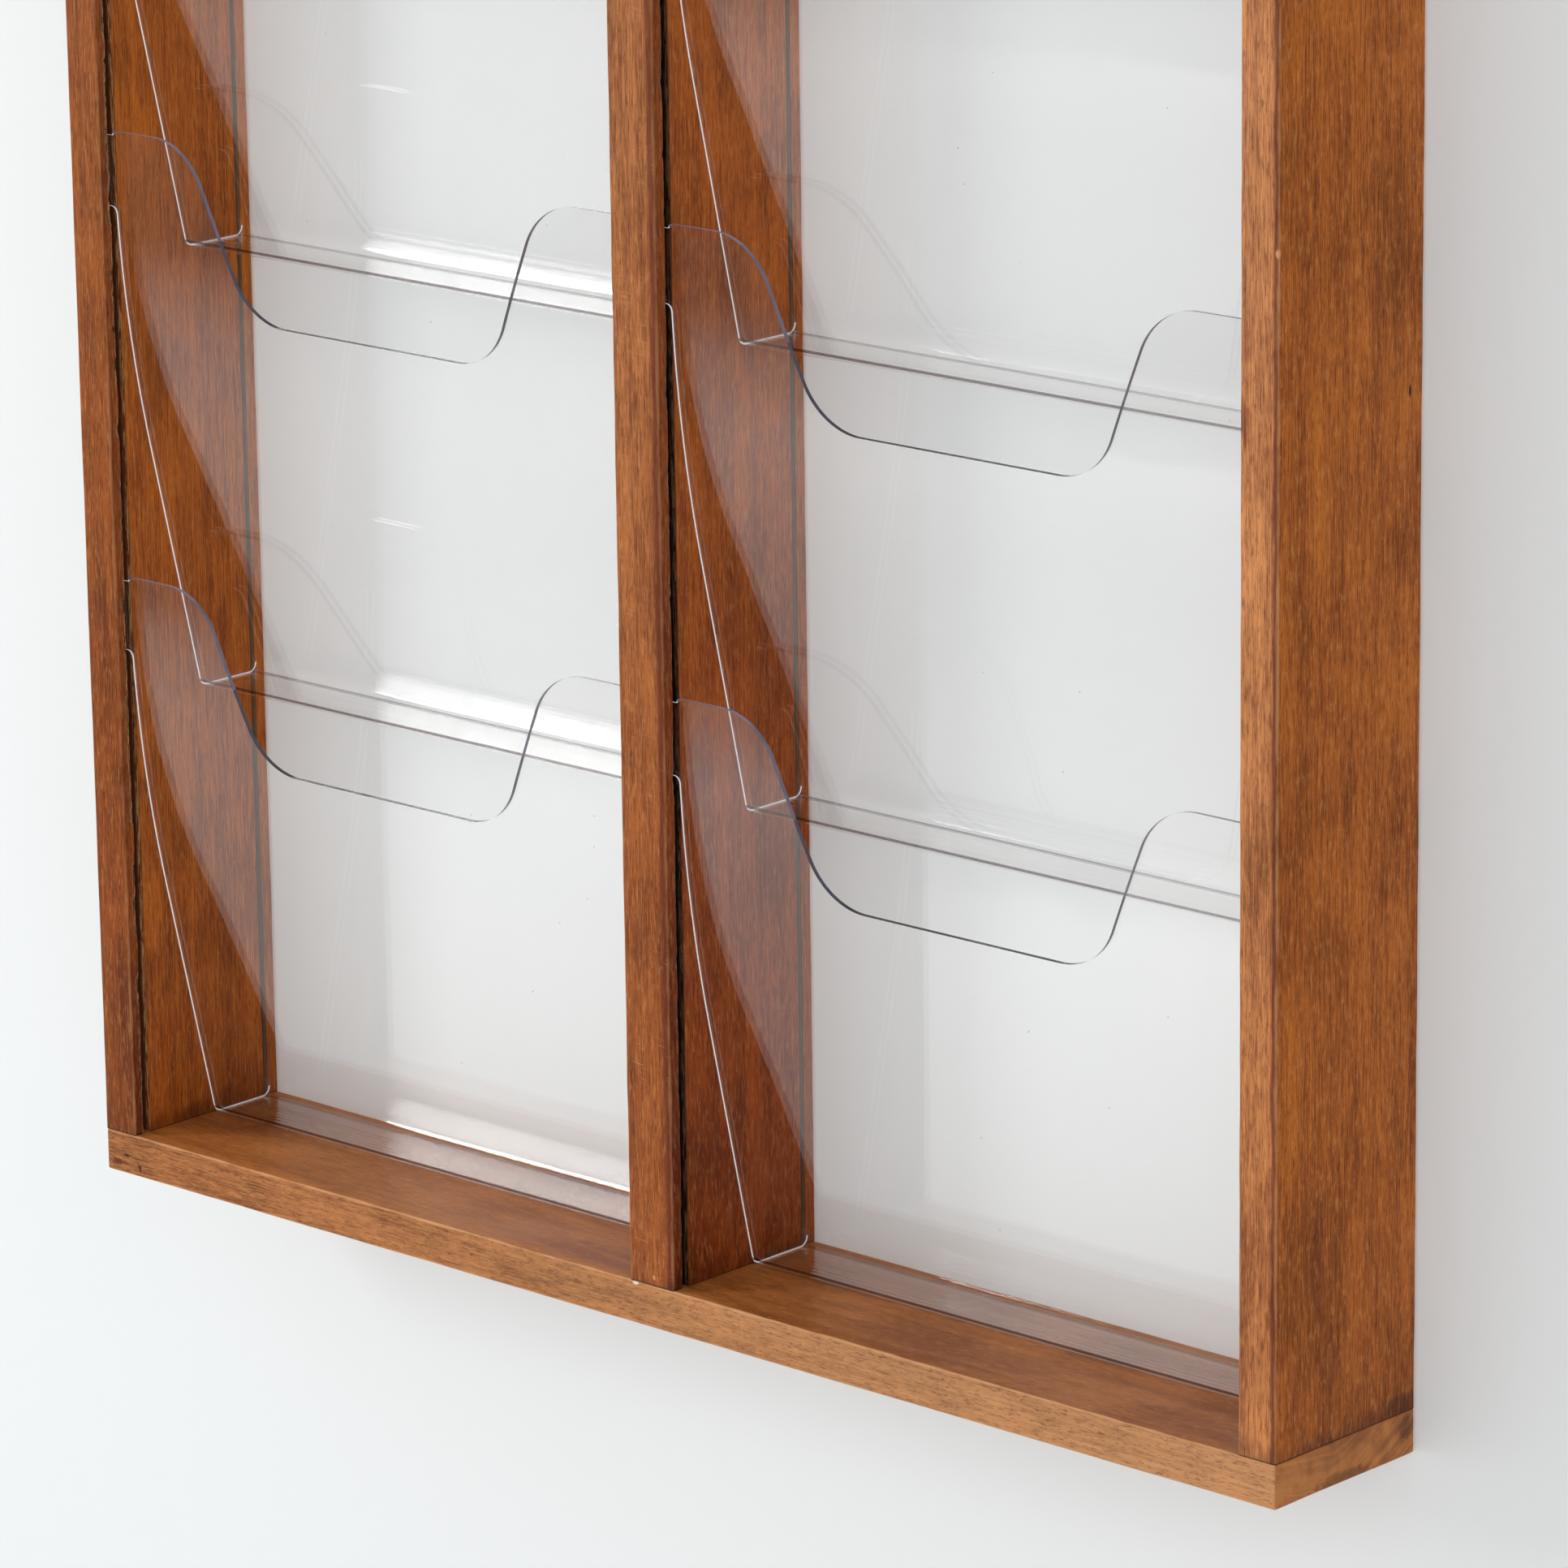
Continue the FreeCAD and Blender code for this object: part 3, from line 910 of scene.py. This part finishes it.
class SheetLine:
    """Side view of a pocket: the sheet's middle line from the back's top to the front's top."""

    def __init__(self, front_height, front_groove_middle, rear_groove_middle):
        self.front_height = front_height
        self.rear = rear_groove_middle
        self.bend_level = bend_radius + sheet_thickness
        self.curve = curve_height / math.sin(lean_angle)
        bend = bend_radius + sheet_thickness / 2
        tab_reach = tab_step + tab_height
        tab_sag = self.curve - math.sqrt(self.curve ** 2 - tab_reach ** 2)
        front_top = front_groove_middle - tab_sag / 2
        straight_end = front_top + self.curve * (1 - math.cos(lean_angle))
        straight_low = self.bend_level - bend * math.sin(lean_angle)
        straight_rise = front_height - curve_height - straight_low
        front_bend = straight_end + straight_rise * math.tan(lean_angle) + bend * math.cos(lean_angle)
        self.lengths = [
            back_height - self.bend_level,
            bend * math.pi / 2,
            self.rear - bend - front_bend,
            bend * (math.pi / 2 - lean_angle),
            straight_rise / math.cos(lean_angle),
            self.curve * lean_angle,
        ]
        self.radii = [0, bend, 0, bend, 0, self.curve]
        self.steps = [sheet_grid, bend_grid, sheet_grid, bend_grid, sheet_grid, sheet_grid]
        self.total = sum(self.lengths)

    def at(self, run, offset):
        """Y and Z at a distance along the line and an offset towards the inside."""
        place = complex(self.rear, back_height)
        inward = complex(-1, 0)
        for length, radius in zip(self.lengths, self.radii):
            part = min(run, length)
            run -= part
            if radius:
                turned = inward * cmath.exp(-1j * part / radius)
                place += (inward - turned) * radius
                inward = turned
            else:
                place += inward * 1j * part
        place += inward * offset
        return place.real, place.imag

    def rows(self):
        """Distances along the line of the mesh's rows of points."""
        places = []
        start = 0.0
        for length, step in zip(self.lengths, self.steps):
            count = max(1, round(length / step))
            places += [start + length * index / count for index in range(count)]
            if step == sheet_grid:
                places += [start + bend_guard, start + length - bend_guard]
            start += length
        return sorted(places + [start])

    def finish_at(self, run, outer):
        """Finish of a face at a distance along the line, on the outer or the inner side."""
        rear_start, rear_bend = self.lengths[:2]
        front_start = sum(self.lengths[:3])
        front_bend = self.lengths[3]
        # Painted shade: the outer face of each bend is tinted dark over part of its run
        if outer and front_fold_from * front_bend < run - front_start < front_bend:
            return FRONT_FOLD
        if outer and rear_fold_from * rear_bend < run - rear_start < rear_fold_to * rear_bend:
            return REAR_FOLD
        if rear_start - formed_reach < run < rear_start + rear_bend:
            return FORMED
        if rear_start < run < front_start:
            return FLOOR
        return CLEAR

    def rim_finishes(self, run, at_side):
        """Finishes of the outer and the inner part of a cut edge."""
        if at_side:
            return SAWN if run > self.lengths[0] else CLEAR, CLEAR
        dip_end = self.run_of_front(self.front_height - dip_depth * 0.6)
        edge = DIP_EDGE if self.total / 2 < run < dip_end else EAR_EDGE
        return edge, edge

    def run_of_front(self, z):
        return self.total - self.curve * math.asin((self.front_height - z) / self.curve)


def rounded_path(corners):
    """Points through (x, z, radius) corners, each rounded by its radius but for the two ends."""
    points = [corners[0][:2]]
    for before, (x, z, radius), after in zip(corners, corners[1:], corners[2:]):
        corner = Vector((x, z))
        back = (Vector(before[:2]) - corner).normalized()
        ahead = (Vector(after[:2]) - corner).normalized()
        if radius == 0:
            points.append((x, z))
            continue
        half_angle = back.angle(ahead) / 2
        centre = corner + (back + ahead).normalized() * (radius / math.sin(half_angle))
        start = corner + back * (radius / math.tan(half_angle)) - centre
        turn = math.pi - 2 * half_angle
        direction = 1 if back.x * ahead.y - back.y * ahead.x < 0 else -1
        count = max(3, math.ceil(turn * radius / outline_step))
        for index in range(count + 1):
            spin = Matrix.Rotation(direction * turn * index / count, 2)
            points.append(tuple(centre + spin @ start))
    points.append(corners[-1][:2])
    return points


def pocket_outline(line, tab_half):
    """Flat outline of a pocket as (x, run) points, anticlockwise, symmetrical about X = 0."""
    top = line.front_height
    tab_top = top - tab_step
    tab_bottom = tab_top - tab_height
    mouth_half = pocket_half - ear_width
    hook_top = line.bend_level + hook_radius
    back = rounded_path([
        (0.0, back_height, 0),
        (tab_half, back_height, tab_corner_radius),
        (tab_half, hook_top, tab_corner_radius),
        (pocket_half, hook_top, hook_radius),
        (pocket_half, line.bend_level, 0),
    ])
    front = rounded_path([
        (pocket_half, top - curve_height, 0),
        (pocket_half, tab_bottom, tab_root_radius),
        (tab_half, tab_bottom, tab_corner_radius),
        (tab_half, tab_top, tab_corner_radius),
        (pocket_half, tab_top, 0),
        (pocket_half, top, ear_corner_radius),
        (mouth_half, top, mouth_radius),
        (mouth_half - mouth_run, top - dip_depth, mouth_radius),
        (0.0, top - dip_depth, 0),
    ])
    right = [(x, back_height - z) for x, z in back] + [(x, line.run_of_front(z)) for x, z in front]
    return right + [(-x, run) for x, run in reversed(right[1:-1])]


def with_grid_points(outline, xs, runs):
    """The outline with points where its longer edges cross the grid."""
    finer = []
    for start, end in zip(outline, outline[1:] + outline[:1]):
        finer.append(start)
        length = math.hypot(end[0] - start[0], end[1] - start[1])
        if length < 3 * MM:
            continue
        axis = 0 if abs(end[0] - start[0]) > abs(end[1] - start[1]) else 1
        shares = [(line - start[axis]) / (end[axis] - start[axis]) for line in (xs, runs)[axis]]
        margin = 0.25 * MM / length
        for share in sorted(share for share in shares if margin < share < 1 - margin):
            finer.append(tuple(a + (b - a) * share for a, b in zip(start, end)))
    return finer


def well_inside(point, outline, margin):
    """True if a point lies inside an outline and at least a margin from it."""
    px, py = point
    inside = False
    for (ax, ay), (bx, by) in zip(outline, outline[1:] + outline[:1]):
        dx, dy = bx - ax, by - ay
        if (ay > py) != (by > py) and px < ax + (py - ay) / dy * dx:
            inside = not inside
        share = min(1.0, max(0.0, ((px - ax) * dx + (py - ay) * dy) / (dx ** 2 + dy ** 2)))
        if math.hypot(px - ax - share * dx, py - ay - share * dy) < margin:
            return False
    return inside


def rim_edges(triangles):
    """Edges that belong to one triangle alone, each in that triangle's direction."""
    edges = [edge for corners in triangles for edge in zip(corners, corners[1:] + corners[:1])]
    known = set(edges)
    return [(start, end) for start, end in edges if (end, start) not in known]


def pocket_mesh(line, tab_half):
    """One pocket about X = 0, standing on Z = 0: both faces of the sheet and its cut edges."""
    xs = even_places(-pocket_half, pocket_half, round(2 * pocket_half / sheet_grid))
    runs = line.rows()
    outline = with_grid_points(pocket_outline(line, tab_half), xs, runs)
    grid = [(x, run) for run in runs for x in xs if well_inside((x, run), outline, grid_margin)]
    points = [Vector(point) / MM for point in outline + grid]
    flat, _, triangles = delaunay_2d_cdt(points, [], [list(range(len(outline)))], 1, 1e-5)[:3]
    bm = bmesh.new()
    inside, outside = [
        [bm.verts.new((point.x * MM, *line.at(point.y * MM, offset))) for point in flat]
        for offset in (sheet_thickness / 2, -sheet_thickness / 2)
    ]
    for triangle in triangles:
        run = sum(flat[index].y for index in triangle) / 3 * MM
        face = bm.faces.new([inside[index] for index in triangle])
        face.material_index = line.finish_at(run, False)
        face = bm.faces.new([outside[index] for index in reversed(triangle)])
        face.material_index = line.finish_at(run, True)
    ridge = {}
    for start, end in rim_edges(triangles):
        for index in (start, end):
            if index not in ridge:
                ridge[index] = bm.verts.new(outside[index].co.lerp(inside[index].co, frosted_share))
        run = (flat[start].y + flat[end].y) / 2 * MM
        at_side = min(abs(flat[start].x), abs(flat[end].x)) * MM > pocket_half - 0.1 * MM
        outer = bm.faces.new((ridge[end], ridge[start], outside[start], outside[end]))
        inner = bm.faces.new((inside[end], inside[start], ridge[start], ridge[end]))
        outer.material_index, inner.material_index = line.rim_finishes(run, at_side)
    return mesh_of(bm, "pocket")


first_low, first_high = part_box("left_pocket_1")
sheet_line = SheetLine(
    first_high.z - first_low.z,
    cad_low.y + front_lip + front_groove_width / 2,
    cad_high.y - rear_lip - rear_groove_width / 2,
)
blank_pocket = pocket_mesh(sheet_line, (first_high.x - first_low.x) / 2)
pocket_finishes = [
    clear_sheet("clear_sheet_finish", (0.999, 0.999, 0.998)),
    sawn_edge(),
    # Tones of the mouth's cut edges are painted reflections and shade of the clear sheet
    polished_edge("ear_edge_painted_reflection", tone(76, 72, 92), tone(134, 129, 152), tone(150, 147, 170)),
    polished_edge("dip_edge_painted_reflection", tone(46, 43, 62), tone(88, 84, 106), tone(36, 35, 42)),
    # The bends' outer faces are tinted dark as painted shade, where the bent sheet turns the light aside
    clear_sheet("front_fold_painted_shade", (0.36, 0.33, 0.34)),
    clear_sheet("rear_fold_painted_shade", (0.62, 0.6, 0.61)),
    clear_sheet("formed_sheet", (0.999, 0.999, 0.998), drawn_ripple),
    clear_sheet("pocket_floor", (0.968, 0.962, 0.958), drawn_ripple),
]
for column in ("left", "right"):
    for row in (1, 2, 3, 4):
        node = f"{column}_pocket_{row}"
        low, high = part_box(node)
        mesh = blank_pocket.copy()
        mesh.transform(Matrix.Translation(((low.x + high.x) / 2, 0, low.z + rest_gap)))
        dress(node, "sheet", mesh, pocket_finishes, node)


# Steel fixings


def steel(name, bright, dull, wear_size):
    """Plated steel with dull patches and fine rubbing marks."""
    metal = Finish(name)
    patch = metal.grain(metal.spread(wear_size), detail=4.0, roughness=0.6)
    hair = metal.grain(metal.spread(0.15 * MM, 0.15 * MM, 4 * MM))
    dulled = metal.step(patch, 0.42, 0.66)
    return metal.surface(metal.node("BsdfPrincipled", {}, {
        "Base Color": metal.blend(dulled, bright, dull),
        "Metallic": 0.95 - dulled * 0.35,
        "Roughness": 0.28 + dulled * 0.25 + hair * 0.12,
        "Normal": metal.bump(hair, 0.2, 0.05 * MM),
    }))


fixing_finishes = {
    "hanger_plate": steel("hanger_steel_finish", tone(206, 204, 196), tone(150, 140, 118), 3 * MM),
    "screws": steel("screw_steel_finish", tone(196, 190, 178), tone(112, 98, 78), 1.6 * MM),
}
for name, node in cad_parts.items():
    for ending, finish in fixing_finishes.items():
        if name.endswith(ending):
            node.data.materials.clear()
            node.data.materials.append(finish)


# Stage, light and camera

# White of the wall that needs no lamp, its share that shows light and shadow, and its cool tint
wall_glow = 0.228
wall_shade = 0.64
wall_tint = (0.97, 1.0, 1.01)
stage_half = 7.0
wall_gap = 1.0 * MM
floor_level = cad_low.z - 0.35

# Strength of the even light, and of what is seen low down and overhead
room_light = 0.57
room_seen = 0.95
overhead_dimming = 0.5


def plane(name, low, high, material):
    """Flat rectangle of the stage between two opposite corners, with one edge along X."""
    corners = [low, (high[0], low[1], low[2]), high, (low[0], high[1], high[2])]
    mesh = bpy.data.meshes.new(name)
    mesh.from_pydata(corners, [], [(0, 1, 2, 3)])
    mesh.materials.append(material)
    board = in_scene(name, mesh)
    return board


def wall_paint():
    """Pale wall, seen from the front alone, that lets light in from behind."""
    paint = Finish("wall_paint")
    seen = paint.seen() * (1 - paint.node("NewGeometry", output="Backfacing"))
    glow = paint.node("Emission", {}, {"Color": (*wall_tint, 1.0), "Strength": wall_glow})
    roller = paint.grain(paint.spread(9 * MM, 1.0, 26 * MM), detail=3.0)
    matt = paint.node("BsdfDiffuse", {}, {
        "Color": (*(wall_shade * part for part in wall_tint), 1.0),
        "Normal": paint.bump(roller, 0.45, 0.6 * MM),
    })
    pale = paint.node("AddShader", {}, {0: glow, 1: matt})
    clear = paint.node("BsdfTransparent")
    return paint.surface(paint.node("MixShader", {}, {0: seen, 1: clear, 2: pale}))


def floor_paint():
    """Pale floor, seen from above alone, that falls off to grey in reflections."""
    paint = Finish("floor_paint")
    x, y = paint.place()[:2]
    away = paint.step((x * x + y * y) ** 0.5, 1.2, 3.0) * paint.node("LightPath", output="Is Glossy Ray")
    colour = paint.blend(away, tone(240, 240, 239), tone(150, 150, 149))
    matt = paint.node("BsdfDiffuse", {}, {"Color": colour})
    clear = paint.node("BsdfTransparent")
    below = paint.node("NewGeometry", output="Backfacing")
    return paint.surface(paint.node("MixShader", {}, {0: below, 1: matt, 2: clear}))


def soft_lamp(name, place, target, size, power, mirrored=0.0):
    """Area lamp. Gloss shows a card of its size instead, of the mirrored strength."""
    light = bpy.data.lights.new(name, "AREA")
    light.shape = "RECTANGLE"
    light.size, light.size_y = size
    light.energy = power
    lamp = in_scene(name, light)
    lamp.location = place
    lamp.rotation_euler = (Vector(target) - Vector(place)).to_track_quat("-Z", "Y").to_euler()
    lamp.visible_camera = lamp.visible_glossy = False
    if mirrored:
        paint = Finish(f"{name}_card")
        glow = paint.surface(paint.node("Emission", {}, {"Color": white, "Strength": mirrored}))
        half_width, half_height = size[0] / 2, size[1] / 2
        card = plane(f"{name}_card", (-half_width, -half_height, 0), (half_width, half_height, 0), glow)
        card.matrix_world = Matrix.Translation(place) @ lamp.rotation_euler.to_matrix().to_4x4()
        card.visible_camera = card.visible_diffuse = card.visible_shadow = False


def surroundings():
    """Even studio light. What is seen of it is white low down and grey overhead."""
    room = Finish("studio", "worlds")
    direction = room.node("TexCoord", output="Generated")
    height = room.node("SeparateXYZ", {}, {0: direction}, output=2)
    overhead = room.step(height, -0.02, 0.3)
    strength = room_light + room.seen() * (room_seen - room_light - overhead * overhead_dimming)
    back = room.node("Background", {}, {"Color": white, "Strength": strength})
    scene.world = room.surface(back, "World")


def viewpoint():
    """Camera at the photograph's place, with its roll."""
    lens = bpy.data.cameras.new("viewpoint")
    lens.lens = focal_length_mm
    lens.sensor_width = sensor_width_mm
    camera = in_scene("viewpoint", lens)
    aim = Matrix.Rotation(view_azimuth, 4, "Z") @ Matrix.Rotation(math.pi / 2 - view_elevation, 4, "X")
    roll = Matrix.Rotation(-view_roll, 4, "Z")
    camera.matrix_world = Matrix.Translation(view_place) @ aim @ roll
    scene.camera = camera


plane("wall", (-stage_half, wall_gap, floor_level), (stage_half, wall_gap, stage_half), wall_paint())
plane("floor", (-stage_half, -stage_half, floor_level), (stage_half, stage_half, floor_level), floor_paint())
soft_lamp("key_softbox", (-1.68, -1.49, 0.18), (0.0, -0.03, -0.3), size=(0.5, 0.96), power=20, mirrored=18)
soft_lamp("right_fill", (2.6, -1.6, 0.9), (cad_low + cad_high) / 2, size=(1.6, 1.6), power=12.0)
soft_lamp("low_fill", (-0.3, -1.5, -0.76), (0.0, 0.0, -0.76), size=(1.6, 0.4), power=3.6)
surroundings()
viewpoint()
scene.view_settings.view_transform = "Standard"
scene.cycles.transparent_max_bounces = 40
